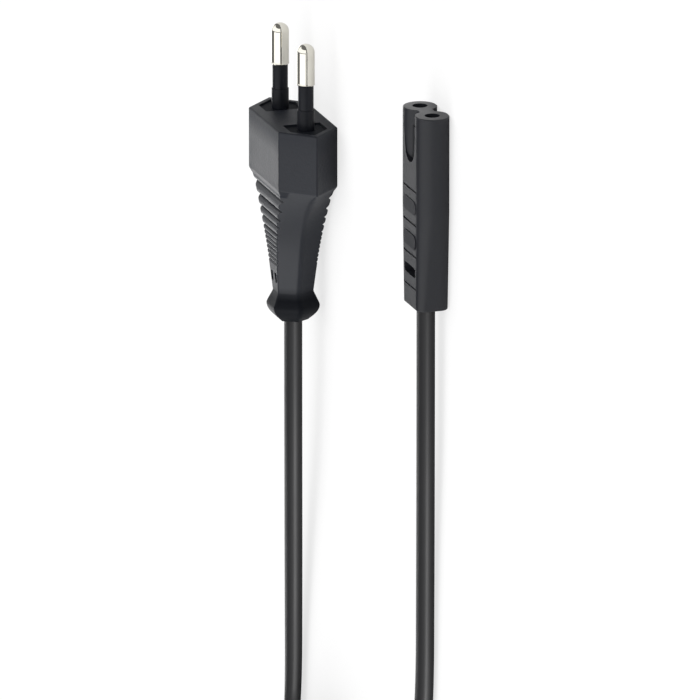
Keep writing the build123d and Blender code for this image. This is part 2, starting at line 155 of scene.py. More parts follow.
def spread_over(tree, pattern, low, high):
    """A pattern from 0 to 1, spread over another range."""
    node = tree.nodes.new("ShaderNodeMapRange")
    node.inputs["To Min"].default_value = low
    node.inputs["To Max"].default_value = high
    tree.links.new(pattern, node.inputs["Value"])
    return node.outputs["Result"]


def emboss(tree, shader, pattern, strength, depth):
    """Gives a shader's surface the relief of a pattern."""
    node = tree.nodes.new("ShaderNodeBump")
    node.inputs["Strength"].default_value = strength
    node.inputs["Distance"].default_value = depth
    tree.links.new(pattern, node.inputs["Height"])
    tree.links.new(node.outputs["Normal"], shader.inputs["Normal"])


def nickel_plate():
    """Polished plate over turned brass: fine rings of the lathe and a faint cloud in the gloss."""
    material, tree, shader, place = new_material("nickel_plate")
    shader.inputs["Metallic"].default_value = 1.0
    turning = tree.nodes.new("ShaderNodeMapping")
    turning.inputs["Scale"].default_value = (60, 5200, 60)
    tree.links.new(place, turning.inputs["Vector"])
    rings = noise(tree, turning.outputs["Vector"], scale=1.0)
    cloud = noise(tree, place, scale=420)
    tint = colour_mix(tree, cloud, (0.66, 0.64, 0.57), (0.74, 0.72, 0.655))
    tree.links.new(tint, shader.inputs["Base Color"])
    tree.links.new(spread_over(tree, rings, low=0.04, high=0.12), shader.inputs["Roughness"])
    emboss(tree, shader, rings, strength=0.1, depth=0.02 * MM)
    return material


pin_finish = nickel_plate()
pin_tip = (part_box("plug_pin_left")[1].y - PLUG_FACE) / MM
dome_end = pin_tip - PIN_TIP_CORNER
dome_centre = (PIN_RADIUS - PIN_TIP_CORNER, dome_end)
pin_profile = [
    (0, pin_tip),
    *arc(dome_centre, PIN_TIP_CORNER, *PIN_TIP_ARC),
    (PIN_RADIUS, dome_end - 2 * PIN_BEAD),
    (PIN_RADIUS, SLEEVE_TOP + 9 * PIN_BEAD),
    (PIN_RADIUS, SLEEVE_TOP + 7 * PIN_BEAD),
    (PIN_RADIUS + PIN_BEAD, SLEEVE_TOP + 5 * PIN_BEAD),
    (PIN_RADIUS + PIN_BEAD, SLEEVE_TOP + 3 * PIN_BEAD),
    (PIN_RADIUS - PIN_BEAD, SLEEVE_TOP),
    (PIN_NECK_RADIUS, SLEEVE_TOP),
    (PIN_NECK_RADIUS, PIN_FLANGE[0]),
    (PIN_FLANGE_RADIUS, PIN_FLANGE[0]),
    (PIN_FLANGE_RADIUS, PIN_FLANGE[1]),
    (BARREL_RADIUS, PIN_FLANGE[1]),
    (BARREL_RADIUS, BARREL_END),
    (BARREL_BORE_RADIUS, BARREL_END),
    (BARREL_BORE_RADIUS, BARREL_END + BARREL_BORE_DEPTH),
    (0, BARREL_END + BARREL_BORE_DEPTH),
]
pin_axes = {}
for side in ("left", "right"):
    low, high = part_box(f"plug_pin_{side}")
    pin_axes[side] = Vector(((low.x + high.x) / 2, PLUG_FACE, PLUG_Z))
    pin = turned(f"contact_pin_{side}", pin_profile, pin_axes[side])
    pin.data.materials.append(pin_finish)
    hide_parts(f"plug_pin_{side}")
    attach(pin, "root")

# Sleeves: black nylon moulded round the pins' necks, so that a half-drawn pin can't be touched. The
# lower part is a little thicker, where it stands in the carrier.
SLEEVE_RADIUS = 1.75
SLEEVE_EDGE = 0.15
SLEEVE_EDGE_ARC = (75, 0, 4)
SLEEVE_BASE_RADIUS = 1.95
SLEEVE_BASE_TOP = 4.3
SLEEVE_BASE_EDGE = 0.075
SLEEVE_BASE_ARC = (70, 0, 3)
GRAINS_TO_A_CLOUD = 14
GLOSS_SPREAD = 0.06


def moulded(name, colour, spread, roughness, grain, relief, sheen=0.27):
    """Moulded plastic: a slightly varied colour, uneven gloss and an eroded grain in the surface."""
    material, tree, shader, place = new_material(name)
    shader.inputs["Specular IOR Level"].default_value = sheen
    cloud = noise(tree, place, scale=grain / GRAINS_TO_A_CLOUD, detail=4.0)
    darker = tuple(channel * (1 - spread) for channel in colour)
    lighter = tuple(channel * (1 + spread) for channel in colour)
    tree.links.new(colour_mix(tree, cloud, darker, lighter), shader.inputs["Base Color"])
    gloss = spread_over(tree, cloud, roughness - GLOSS_SPREAD, roughness + GLOSS_SPREAD)
    tree.links.new(gloss, shader.inputs["Roughness"])
    spark = noise(tree, place, scale=grain, detail=3.0, roughness=0.6)
    emboss(tree, shader, spark, strength=1.0, depth=relief * MM)
    return material


sleeve_finish = moulded(
    "sleeve_nylon",
    (0.005, 0.006, 0.0095),
    spread=0.15,
    roughness=0.33,
    grain=2600,
    relief=0.01,
    sheen=0.2,
)
top_flat = SLEEVE_RADIUS - SLEEVE_EDGE
base_flat = SLEEVE_BASE_RADIUS - SLEEVE_BASE_EDGE
sleeve_profile = [
    (PIN_NECK_RADIUS, SLEEVE_TOP),
    (top_flat, SLEEVE_TOP),
    *arc((top_flat, SLEEVE_TOP - SLEEVE_EDGE), SLEEVE_EDGE, *SLEEVE_EDGE_ARC),
    (SLEEVE_RADIUS, SLEEVE_BASE_TOP),
    (base_flat, SLEEVE_BASE_TOP),
    *arc((base_flat, SLEEVE_BASE_TOP - SLEEVE_BASE_EDGE), SLEEVE_BASE_EDGE, *SLEEVE_BASE_ARC),
    (SLEEVE_BASE_RADIUS, PIN_FLANGE[0]),
    (PIN_NECK_RADIUS, PIN_FLANGE[0]),
]
for side, axis in pin_axes.items():
    sleeve = turned(f"insulating_sleeve_{side}", sleeve_profile, axis)
    sleeve.data.materials.append(sleeve_finish)
    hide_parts(f"pin_sleeve_{side}")
    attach(sleeve, "root")

# Pin carrier: a hard black insert moulded round both pins before the plug is moulded over it. Only
# its front shows, at the bottom of two shallow windows in the pin face.


def dress(node, material):
    """Gives a piece that stays as constructed its finish."""
    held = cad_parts[node]
    held.data.materials.clear()
    held.data.materials.append(material)


carrier_finish = moulded(
    "carrier_plastic",
    (0.006, 0.0075, 0.011),
    spread=0.2,
    roughness=0.7,
    grain=1900,
    relief=0.02,
    sheen=0.1,
)
dress("pin_carrier", carrier_finish)

# Copper strands and coloured cores: the stripped ends are crimped in the barrels, and the insulated
# cores run from there to the sheathed cable. All of it is buried in the two mouldings.
CORE_PLASTIC = {"spread": 0.1, "roughness": 0.35, "grain": 1500, "relief": 0.01}


def drawn_copper():
    """Bare copper strands: a twist of fine bright lines along the wire."""
    material, tree, shader, place = new_material("copper_strands")
    shader.inputs["Metallic"].default_value = 1.0
    shader.inputs["Roughness"].default_value = 0.32
    strands = tree.nodes.new("ShaderNodeTexWave")
    strands.inputs["Scale"].default_value = 900
    strands.inputs["Distortion"].default_value = 1.5
    tree.links.new(place, strands.inputs["Vector"])
    tint = colour_mix(tree, strands.outputs["Fac"], (0.42, 0.19, 0.1), (0.8, 0.46, 0.3))
    tree.links.new(tint, shader.inputs["Base Color"])
    return material


copper_finish = drawn_copper()
brown_finish = moulded("brown_insulation", (0.16, 0.07, 0.03), **CORE_PLASTIC)
blue_finish = moulded("blue_insulation", (0.03, 0.12, 0.4), **CORE_PLASTIC)
for end in ("plug", "connector"):
    dress(f"{end}_conductor_left", copper_finish)
    dress(f"{end}_conductor_right", copper_finish)
    dress(f"{end}_core_brown", brown_finish)
    dress(f"{end}_core_blue", blue_finish)

# Plug moulding: soft black plastic shot over the carrier, the cores and the cable's end. A six-sided
# head runs into a tapering grip with finger ribs, a neck with two locating windows and a collar.
# Its sections give distance behind the head, width at the middle, width on the flats, thickness.
HEAD_LENGTH = 13.9
HEAD_SECTION = (35.3, 22.0, 13.9)
HEAD_EDGE = 0.4
HEAD_RIM = 0.38
HEAD_STATIONS = (0.5, 1, 2, 4, 6, 8, 10, 12, 12.8)
GRIP_SECTIONS = [
    (1.3, 32.4, 20.4, 12.6),
    (4.6, 24.6, 16.6, 12.1),
    (8.0, 18.6, 13.4, 11.7),
    (12.0, 14.6, 10.3, 11.0),
    (18.0, 12.1, 7.0, 9.9),
    (26.6, 9.0, 4.2, 8.4),
]
COLLAR_SECTIONS = [
    GRIP_SECTIONS[-1],
    (27.6, 9.8, 4.8, 9.3),
    (28.6, 11.0, 5.6, 10.1),
    (29.5, 11.8, 6.0, 10.8),
    (30.3, 11.7, 6.0, 10.7),
    (31.3, 10.8, 5.4, 9.9),
    (32.3, 9.2, 4.5, 8.2),
    (33.2, 7.0, 3.4, 6.2),
]
PLUG_LENGTH = HEAD_LENGTH + COLLAR_SECTIONS[-1][0]
STEP_SOFTNESS = 0.22
STEP_SAMPLES = 3
GRIP_EDGE = 0.55
GRIP_SIDE = 1.5
EDGE_CHANGE = 2.0
FINE_ROWS_START = 13.0
ROW_PITCH = 0.09
RIM_STEPS = 6
CORNER_STEPS = 6
WIDE_SPREAD = [0.01, 0.04, 0.15, 0.3, 0.5, 0.7, 0.85, 0.96, 0.99]
SLANT_SPREAD = [0.03, 0.1, 0.2, 0.32, 0.45, 0.57, 0.66, 0.74, 0.8, 0.85, 0.89, 0.93, 0.96, 0.985]
FIRST_RIB_START = 1.5
GROOVES = [(2.9, 0.95), (5.75, 0.9), (8.1, 0.78), (10.05, 0.7), (12.0, 0.6)]
FINE_GROOVES = 7
FINE_GROOVE_START = 13.2
FINE_GROOVE_PITCH = 1.05
FINE_GROOVE_DEPTH = 0.4
VALLEY_POWER = 2.6
CUT_MARGIN = 1
WINDOW_DEPTH = 0.5
WINDOW_CORNERS = [(6.1, 4.35), (6.1, -4.35), (11.69, -4.35), (15.85, 0), (11.69, 4.35)]
WINDOW_ROUND = 0.3
WINDOW_STEPS = 4
LOCATOR_STATION = 36.9
LOCATOR_SIZE = (1.3, 2.3)
LOCATOR_PITCH = 2.7
LOCATOR_REACH = 8
HEAD_FADE = (HEAD_LENGTH + 1.2, HEAD_LENGTH - 1.2)
FRONT_FADE = (5.5, 1.5)
COLLAR_FADE = (HEAD_LENGTH + 25.0, HEAD_LENGTH + 28.0)
STEP_ZONE = (-HEAD_LENGTH - 1.7, -HEAD_LENGTH, 0.3)
UPPER_FACE_ZONE = (5.0, 9.0, 0.5)
GRIP_GRAIN = 0.2
HEAD_GLOSS = -0.06
FRONT_DULLING = 0.16
PLUG_SHEEN = 0.295
COLLAR_SHEEN = -0.22
STEP_SHEEN = -0.2
# Painted shade: a darker colour for the collar, standing in for the shade that falls on it.
COLLAR_PAINTED_SHADE = (0.004, 0.005, 0.0075)


def round_corners(corners, radii, arc_steps, spreads):
    """Outline of a polygon with rounded corners, and points spread along each side by its list."""
    arcs = []
    for i, corner in enumerate(corners):
        back = (corners[i - 1] - corner).normalized()
        ahead = (corners[(i + 1) % len(corners)] - corner).normalized()
        half = back.angle(ahead) / 2
        centre = corner + (back + ahead).normalized() * radii[i] / sin(half)
        start = corner + back * radii[i] / tan(half) - centre
        end = corner + ahead * radii[i] / tan(half) - centre
        start.normalize()
        end.normalize()
        turns = [start.slerp(end, k / arc_steps) for k in range(arc_steps + 1)]
        arcs.append([centre + turn * radii[i] for turn in turns])
    outline = []
    for i, points in enumerate(arcs):
        outline += points
        goal = arcs[(i + 1) % len(arcs)][0]
        outline += [points[-1].lerp(goal, share) for share in spreads[i]]
    return outline


def smooth_through(sections, distance):
    """Width, flat and thickness at a distance, on smooth curves through the given sections."""
    places = [section[0] for section in sections]
    values = [Vector(section[1:]) for section in sections]
    slopes = []
    for i in range(len(sections)):
        before = max(i - 1, 0)
        after = min(i + 1, len(sections) - 1)
        slopes.append((values[after] - values[before]) / (places[after] - places[before]))
    i = max([k for k in range(len(places) - 1) if places[k] <= distance], default=0)
    span = places[i + 1] - places[i]
    t = min((distance - places[i]) / span, 1)
    return (
        values[i] * (2 * t**3 - 3 * t**2 + 1)
        + slopes[i] * span * (t**3 - 2 * t**2 + t)
        + values[i + 1] * (3 * t**2 - 2 * t**3)
        + slopes[i + 1] * span * (t**3 - t**2)
    )


def plug_section(distance):
    """Section of the plug at a distance behind the pin face."""
    behind = distance - HEAD_LENGTH
    step_end = GRIP_SECTIONS[0][0]
    if behind <= 0:
        return Vector(HEAD_SECTION)
    if behind < step_end:
        return Vector(HEAD_SECTION).lerp(Vector(GRIP_SECTIONS[0][1:]), behind / step_end)
    if behind < GRIP_SECTIONS[-1][0]:
        return smooth_through(GRIP_SECTIONS, behind)
    return smooth_through(COLLAR_SECTIONS, behind)


def plug_outline(distance):
    """Outline across the plug, its steps along the plug softened as a mould's edges are."""
    nearby = []
    for k in range(-STEP_SAMPLES, STEP_SAMPLES + 1):
        place = distance + STEP_SOFTNESS * k / STEP_SAMPLES
        nearby.append(plug_section(min(place, PLUG_LENGTH)))
    width, flat, thick = sum(nearby, Vector((0, 0, 0))) / len(nearby)
    corners = [(-width, 0), (-flat, thick), (flat, thick), (width, 0), (flat, -thick), (-flat, -thick)]
    share = min(max((distance - HEAD_LENGTH) / EDGE_CHANGE, 0), 1)
    edge = HEAD_EDGE + share * (GRIP_EDGE - HEAD_EDGE)
    side = HEAD_EDGE + share * (GRIP_SIDE - HEAD_EDGE)
    falling = [1 - part for part in reversed(SLANT_SPREAD)]
    spreads = [SLANT_SPREAD, WIDE_SPREAD, falling] * 2
    halved = [Vector(corner) / 2 for corner in corners]
    return round_corners(halved, [side, edge, edge] * 2, CORNER_STEPS, spreads)


def lofted(name, rows, centre):
    """Skin through rows, each a distance behind the face and an outline, closed at both ends."""
    mesh = bmesh.new()
    rings = []
    for distance, outline in rows:
        rings.append([mesh.verts.new(centre + Vector((p.x, -distance, p.y)) * MM) for p in outline])
    for near, far in zip(rings, rings[1:]):
        for i in range(len(near)):
            following = (i + 1) % len(near)
            mesh.faces.new((near[i], near[following], far[following], far[i]))
    mesh.faces.new(rings[0])
    mesh.faces.new(rings[-1])
    return as_piece(name, mesh)


def inset(outline, amount):
    """An outline moved inwards along its own normals."""
    moved = []
    for i, point in enumerate(outline):
        along = outline[(i + 1) % len(outline)] - outline[i - 1]
        moved.append(point + Vector((along.y, -along.x)).normalized() * amount)
    return moved


def rim_rows(outline, edge, start, turn):
    """Rows of a rounded rim: from the face inwards if turn is 1, out to the end face if it is -1."""
    rows = []
    for i in range(RIM_STEPS + 1):
        angle = radians(90) * (i if turn > 0 else RIM_STEPS - i) / RIM_STEPS
        rows.append((start + turn * edge * (1 - cos(angle)), inset(outline, edge * (1 - sin(angle)))))
    return rows


def prism(mesh, outline, start, end, axis):
    """Adds a closed prism to a bmesh: the outline is across the axis, start and end are along it."""
    ends = []
    for along in (start, end):
        if axis == "Y":
            ring = [Vector((p[0], -along, p[1])) for p in outline]
        else:
            ring = [Vector((p[0], -p[1], along)) for p in outline]
        ends.append([mesh.verts.new(point) for point in ring])
    for i in range(len(outline)):
        following = (i + 1) % len(outline)
        mesh.faces.new((ends[0][i], ends[0][following], ends[1][following], ends[1][i]))
    mesh.faces.new(ends[0])
    mesh.faces.new(ends[1])


def cutter(name, mesh, centre):
    """Makes a cutting tool of prisms drawn in millimetres about a centre."""
    mesh.transform(Matrix.Translation(centre) @ Matrix.Scale(MM, 4))
    return as_piece(name, mesh)


def cut(piece, tool, how="DIFFERENCE"):
    """Adds a Boolean cut by a tool to a piece."""
    carve = piece.modifiers.new(tool.name, "BOOLEAN")
    carve.operation = how
    carve.solver = "EXACT"
    carve.use_self = False
    carve.object = tool
    tool.hide_render = True


def plain_mesh(piece):
    """A plain mesh of what a piece's modifiers make of it."""
    bpy.context.view_layer.update()
    shaped = piece.evaluated_get(bpy.context.evaluated_depsgraph_get())
    return bpy.data.meshes.new_from_object(shaped)


def settle(piece, material, *tools):
    """Turns a piece's modifiers into its own plain mesh, and removes the tools that shaped it."""
    shaped = plain_mesh(piece)
    shaped.name = piece.name
    piece.modifiers.clear()
    piece.data = shaped
    shaped.materials.clear()
    shaped.materials.append(material)
    shaped.polygons.foreach_set("material_index", [0] * len(shaped.polygons))
    for tool in tools:
        bpy.data.objects.remove(tool)
    shade(piece)


def link(tree, source, socket, target, name):
    """Joins an output of one node to an input of another."""
    tree.links.new(source.outputs[socket], target.inputs[name])


def math_node(tree, operation, *values):
    """A math node; each value is a number or the socket that gives it."""
    node = tree.nodes.new("ShaderNodeMath")
    node.operation = operation
    for socket, value in zip(node.inputs, values):
        if isinstance(value, (int, float)):
            socket.default_value = value
        else:
            tree.links.new(value, socket)
    return node.outputs[0]


def new_tree(name, *sizes):
    """A geometry tree with named sizes and a material as its inputs, and its input node."""
    tree = bpy.data.node_groups.new(name, "GeometryNodeTree")
    kinds = [("Geometry", "Geometry"), *[(size, "Float") for size in sizes], ("Material", "Material")]
    for socket, kind in kinds:
        tree.interface.new_socket(socket, in_out="INPUT", socket_type=f"NodeSocket{kind}")
    tree.interface.new_socket("Geometry", in_out="OUTPUT", socket_type="NodeSocketGeometry")
    return tree, tree.nodes.new("NodeGroupInput")


def end_tree(tree, inputs, made, socket):
    """Ends a geometry tree: what it made becomes plain geometry with the given material."""
    realize = tree.nodes.new("GeometryNodeRealizeInstances")
    link(tree, made, socket, realize, "Geometry")
    finish = tree.nodes.new("GeometryNodeSetMaterial")
    link(tree, realize, "Geometry", finish, "Geometry")
    link(tree, inputs, "Material", finish, "Material")
    link(tree, finish, "Geometry", tree.nodes.new("NodeGroupOutput"), "Geometry")


def groove_tree():
    """Presses a narrow valley across both wide faces, which leaves a half-round rib on each side."""
    sizes = ("Station", "Middle", "Crest", "Slope", "Depth", "Before", "After")
    tree, inputs = new_tree("finger_groove", *sizes)
    given = inputs.outputs
    position = tree.nodes.new("GeometryNodeInputPosition")
    parts = tree.nodes.new("ShaderNodeSeparateXYZ")
    link(tree, position, "Position", parts, "Vector")
    across = math_node(tree, "SUBTRACT", parts.outputs["Y"], given["Station"])
    ahead = math_node(tree, "GREATER_THAN", across, 0.0)
    longer = math_node(tree, "SUBTRACT", given["Before"], given["After"])
    reach = math_node(tree, "ADD", given["After"], math_node(tree, "MULTIPLY", ahead, longer))
    gone = math_node(tree, "DIVIDE", math_node(tree, "ABSOLUTE", across), reach)
    share = math_node(tree, "SUBTRACT", 1.0, gone)
    valley = math_node(tree, "POWER", share, VALLEY_POWER)
    drop = math_node(tree, "MULTIPLY", given["Depth"], valley)
    rise = math_node(tree, "MULTIPLY", across, given["Slope"])
    crest = math_node(tree, "ADD", given["Crest"], rise)
    limit = math_node(tree, "SUBTRACT", crest, drop)
    height = math_node(tree, "SUBTRACT", parts.outputs["Z"], given["Middle"])
    pressed = math_node(tree, "MINIMUM", math_node(tree, "ABSOLUTE", height), limit)
    signed = math_node(tree, "MULTIPLY", pressed, math_node(tree, "SIGN", height))
    level = math_node(tree, "ADD", given["Middle"], signed)
    joined = tree.nodes.new("ShaderNodeCombineXYZ")
    link(tree, parts, "X", joined, "X")
    link(tree, parts, "Y", joined, "Y")
    tree.links.new(level, joined.inputs["Z"])
    within = tree.nodes.new("FunctionNodeCompare")
    within.operation = "GREATER_THAN"
    tree.links.new(share, within.inputs["A"])
    press = tree.nodes.new("GeometryNodeSetPosition")
    link(tree, inputs, "Geometry", press, "Geometry")
    link(tree, joined, "Vector", press, "Position")
    link(tree, within, "Result", press, "Selection")
    end_tree(tree, inputs, press, "Geometry")
    return tree


def run_tree(piece, tree, **values):
    """Puts a node tree on a piece and sets its named inputs by their identifiers."""
    step = piece.modifiers.new(tree.name, "NODES")
    step.node_group = tree
    for item in tree.interface.items_tree:
        if item.in_out == "INPUT" and item.name in values:
            step[item.identifier] = values[item.name]


def band(tree, value, low, high, soft):
    """1 where a value lies between two limits and 0 outside, with soft edges."""
    edges = []
    for limit, inner in ((low, 1), (high, -1)):
        edge = tree.nodes.new("ShaderNodeMapRange")
        edge.interpolation_type = "SMOOTHSTEP"
        tree.links.new(value, edge.inputs["Value"])
        edge.inputs["From Min"].default_value = limit - inner * soft / 2
        edge.inputs["From Max"].default_value = limit + inner * soft / 2
        edges.append(edge.outputs["Result"])
    return math_node(tree, "MULTIPLY", *edges)


def zone(tree, value, origin, limits):
    """A band of a piece: low, high and softness in millimetres, from an origin in metres."""
    low, high, soft = limits
    return band(tree, value, origin + low * MM, origin + high * MM, soft * MM)


def moulded_parts(material):
    """Tree, shader, X Y Z of the object coordinates and roughness of a moulded plastic."""
    tree = material.node_tree
    parts = tree.nodes.new("ShaderNodeSeparateXYZ")
    link(tree, tree.nodes["Texture Coordinate"], "Object", parts, "Vector")
    rough = tree.nodes["Map Range"].outputs["Result"]
    return tree, tree.nodes["Principled BSDF"], parts.outputs, rough


def plug_plastic():
    """The plug's plastic: an eroded grain on the head, a dull front, and a duller collar whose colour
    is darkened as painted shade.
    """
    material = moulded(
        "plug_plastic",
        (0.0098, 0.0118, 0.0178),
        spread=0.15,
        roughness=0.44,
        grain=1500,
        relief=0.046,
    )
    tree, shader, parts, rough = moulded_parts(material)
    shares = []
    for start, end in (HEAD_FADE, FRONT_FADE, COLLAR_FADE):
        share = tree.nodes.new("ShaderNodeMapRange")
        share.inputs["From Min"].default_value = PLUG_FACE - start * MM
        share.inputs["From Max"].default_value = PLUG_FACE - end * MM
        tree.links.new(parts["Y"], share.inputs["Value"])
        shares.append(share.outputs["Result"])
    head, front, collar = shares
    grain = math_node(tree, "MULTIPLY_ADD", head, 1 - GRIP_GRAIN, GRIP_GRAIN)
    tree.links.new(grain, tree.nodes["Bump"].inputs["Strength"])
    rough = math_node(tree, "MULTIPLY_ADD", head, HEAD_GLOSS, rough)
    rough = math_node(tree, "MULTIPLY_ADD", front, FRONT_DULLING, rough)
    tree.links.new(rough, shader.inputs["Roughness"])
    behind_head = zone(tree, parts["Y"], PLUG_FACE, STEP_ZONE)
    upper_face = zone(tree, parts["Z"], PLUG_Z, UPPER_FACE_ZONE)
    step = math_node(tree, "MULTIPLY", behind_head, upper_face)
    sheen = math_node(tree, "MULTIPLY_ADD", collar, COLLAR_SHEEN, PLUG_SHEEN)
    sheen = math_node(tree, "MULTIPLY_ADD", step, STEP_SHEEN, sheen)
    tree.links.new(sheen, shader.inputs["Specular IOR Level"])
    # Painted shade: the collar's colour is darkened to stand in for the shade that falls on it.
    tint = colour_mix(tree, collar, tree.nodes["Mix"].outputs["Result"], COLLAR_PAINTED_SHADE)
    tree.links.new(tint, shader.inputs["Base Color"])
    return material


plug_finish = plug_plastic()
plug_centre = Vector((PLUG_X, PLUG_FACE, PLUG_Z))
plug_rows = rim_rows(plug_outline(0), HEAD_RIM, 0, 1)
plug_rows += [(place, plug_outline(place)) for place in HEAD_STATIONS]
fine_length = PLUG_LENGTH - FINE_ROWS_START
row_count = round(fine_length / ROW_PITCH)
for i in range(row_count + 1):
    place = FINE_ROWS_START + fine_length * i / row_count
    plug_rows.append((place, plug_outline(place)))
plug_body = lofted("plug_moulding", plug_rows, plug_centre)

groove = groove_tree()
grooves = list(GROOVES)
for i in range(FINE_GROOVES):
    grooves.append((FINE_GROOVE_START + FINE_GROOVE_PITCH * i, FINE_GROOVE_DEPTH))
for i, (station, depth) in enumerate(grooves):
    before = (station - grooves[i - 1][0]) / 2 if i > 0 else station - FIRST_RIB_START
    after = (grooves[i + 1][0] - station) / 2 if i < len(grooves) - 1 else before
    crest = smooth_through(GRIP_SECTIONS, station)[2] / 2
    slope = (smooth_through(GRIP_SECTIONS, station - before)[2] / 2 - crest) / before
    run_tree(
        plug_body,
        groove,
        Station=PLUG_FACE - (HEAD_LENGTH + station) * MM,
        Middle=PLUG_Z,
        Crest=crest * MM,
        Slope=slope,
        Depth=depth * MM,
        Before=before * MM,
        After=after * MM,
        Material=plug_finish,
    )

openings = bmesh.new()
half_width = LOCATOR_SIZE[0] / 2
half_length = LOCATOR_SIZE[1] / 2
for sign in (-1, 1):
    window = [Vector((sign * x, z)) for x, z in WINDOW_CORNERS]
    if sign < 0:
        window.reverse()
    count = len(window)
    rounded = round_corners(window, [WINDOW_ROUND] * count, WINDOW_STEPS, [[]] * count)
    prism(openings, rounded, -CUT_MARGIN, WINDOW_DEPTH, "Y")
    locator = [
        (sign * LOCATOR_PITCH / 2 + i * half_width, LOCATOR_STATION + j * half_length)
        for i, j in ((-1, -1), (1, -1), (1, 1), (-1, 1))
    ]
    prism(openings, locator, -LOCATOR_REACH, LOCATOR_REACH, "Z")
plug_tool = cutter("plug_openings", openings, plug_centre)
cut(plug_body, plug_tool)
settle(plug_body, plug_finish, plug_tool)
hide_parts("plug_body")
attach(plug_body, "root")

# Spring contacts and their carrier: slit brass sockets in a hard insert, sealed in the connector.
# Their mouths show at the bottom of the two contact holes.


def rolled_brass():
    """Brass strip rolled into a socket: a dull warm metal with marks along the roll."""
    material, tree, shader, place = new_material("socket_brass")
    shader.inputs["Metallic"].default_value = 1.0
    marks = noise(tree, place, scale=900)
    tint = colour_mix(tree, marks, (0.5, 0.38, 0.18), (0.68, 0.54, 0.29))
    tree.links.new(tint, shader.inputs["Base Color"])
    tree.links.new(spread_over(tree, marks, low=0.25, high=0.45), shader.inputs["Roughness"])
    return material


brass_finish = rolled_brass()
dress("contact_left", brass_finish)
dress("contact_right", brass_finish)
insert_finish = moulded(
    "insert_plastic",
    (0.011, 0.012, 0.014),
    spread=0.2,
    roughness=0.55,
    grain=1900,
    relief=0.02,
)
dress("contact_carrier", insert_finish)

# Connector moulding: the same soft plastic shot over the contacts. The figure-8 nose has a notch in
# both wide faces; behind it are moulded lines, two plain pads and the slot where the mould held the
# cable. Stations are distances behind the contact face.
NOSE_SIZE = (16.2, 7.6)
NOSE_CORNER = 3.75
NOSE_CORNER_STEPS = 16
NOSE_LENGTH = 22.0
NARROW_SPREAD = [0.1, 0.5, 0.9]
CONNECTOR_EDGE = 0.25
CONTACT_SPACING = 8.6
WEB_THICK = 3.4
NOTCH_WIDTH = 6.2
NOTCH_LENGTH = 11.4
NOTCH_STRIPS = 64
CREST_REACH = 4.2
CREST_FADE = 5.0
CONNECTOR_LENGTH = 44.6
TAIL_SIZE = (12.0, 7.3)
TAIL_CORNER = 2.0
FACE_HOLE_RADIUS = 1.7
FACE_HOLE_DEPTH = 2.4
SOCKET_RADIUS = 1.2
SOCKET_DEPTH = 11.4
LINE_STATIONS = [17.4, 25.1, 32.4, 39.8]
LINE_SIZE = (8.8, 0.45)
LINE_CORNER = 0.1
LINE_STEPS = 3
LINE_DEPTH = 0.3
PAD_STATIONS = [21.3, 29.2]
PAD_SIZE = (8.4, 3.2)
PAD_CORNER = PAD_SIZE[1] / 2 - 0.01
PAD_STEPS = 12
PAD_ROOT = 3.2
PAD_HEIGHT = 0.1
SLOT_STATION = 36.2
SLOT_SIZE = (7.4, 2.2)
SLOT_CORNER = 0.6
SLOT_STEPS = 6
SLOT_FLOOR = 1.75
SQUARE = ((-1, -1), (-1, 1), (1, 1), (1, -1))
PAD_SOFTNESS = (1.0, 0.6)
FACE_ZONE = (-0.4, 1.0, 0.3)
REAR_ZONE = (-70.0, -32.0, 20.0)
WIDE_FACE_ZONE = (7.3, 9.0, 0.3)
PAD_DULLING = 0.17
FACE_GLOSS = -0.14
CONNECTOR_SHEEN = 0.36
WIDE_FACE_LOSS = 0.14
REAR_LOSS = 0.11


def connector_outline(distance):
    """Outline across the connector at a distance behind its face."""
    share = max(distance - NOSE_LENGTH, 0) / (CONNECTOR_LENGTH - NOSE_LENGTH)
    width, thick = Vector(NOSE_SIZE).lerp(Vector(TAIL_SIZE), share) / 2
    corner = NOSE_CORNER + share * (TAIL_CORNER - NOSE_CORNER)
    corners = [Vector((i * width, j * thick)) for i, j in SQUARE]
    return round_corners(corners, [corner] * 4, NOSE_CORNER_STEPS, [NARROW_SPREAD, WIDE_SPREAD] * 2)


def lobe_height(across):
    """Height of the figure-8 above its middle plane, at a place between the two contacts."""
    reach = (NOSE_SIZE[1] / 2) ** 2 - (abs(across) - CONTACT_SPACING / 2) ** 2
    return max(WEB_THICK / 2, sqrt(max(reach, 0)))


def rectangle(size, corner, station, steps):
    """A rectangle with rounded corners at a station, as a list of points."""
    half = Vector(size) / 2
    centre = Vector((0, station))
    corners = [centre + Vector((i * half.x, j * half.y)) for i, j in SQUARE]
    return round_corners(corners, [corner] * 4, steps, [[]] * 4)


def notch_strips(mesh, sign):
    """Adds the tool that sinks the notch between the two lobes of one wide face."""
    half = NOTCH_WIDTH / 2
    columns = []
    for i in range(NOTCH_STRIPS + 1):
        x = CREST_REACH * sin(radians(90) * (2 * i / NOTCH_STRIPS - 1))
        end = NOTCH_LENGTH - half + sqrt(max(half**2 - x**2, 0))
        end -= CREST_FADE * max(abs(x) - half, 0)
        floor_level = sign * lobe_height(x)
        top_level = sign * NOSE_SIZE[1]
        corners = (
            (-CUT_MARGIN, floor_level),
            (end, floor_level),
            (end, top_level),
            (-CUT_MARGIN, top_level),
        )
        columns.append([mesh.verts.new((x, -y, z)) for y, z in corners])
    for near, far in zip(columns, columns[1:]):
        for i in range(4):
            following = (i + 1) % 4
            mesh.faces.new((near[i], near[following], far[following], far[i]))
    mesh.faces.new(columns[0])
    mesh.faces.new(columns[-1])


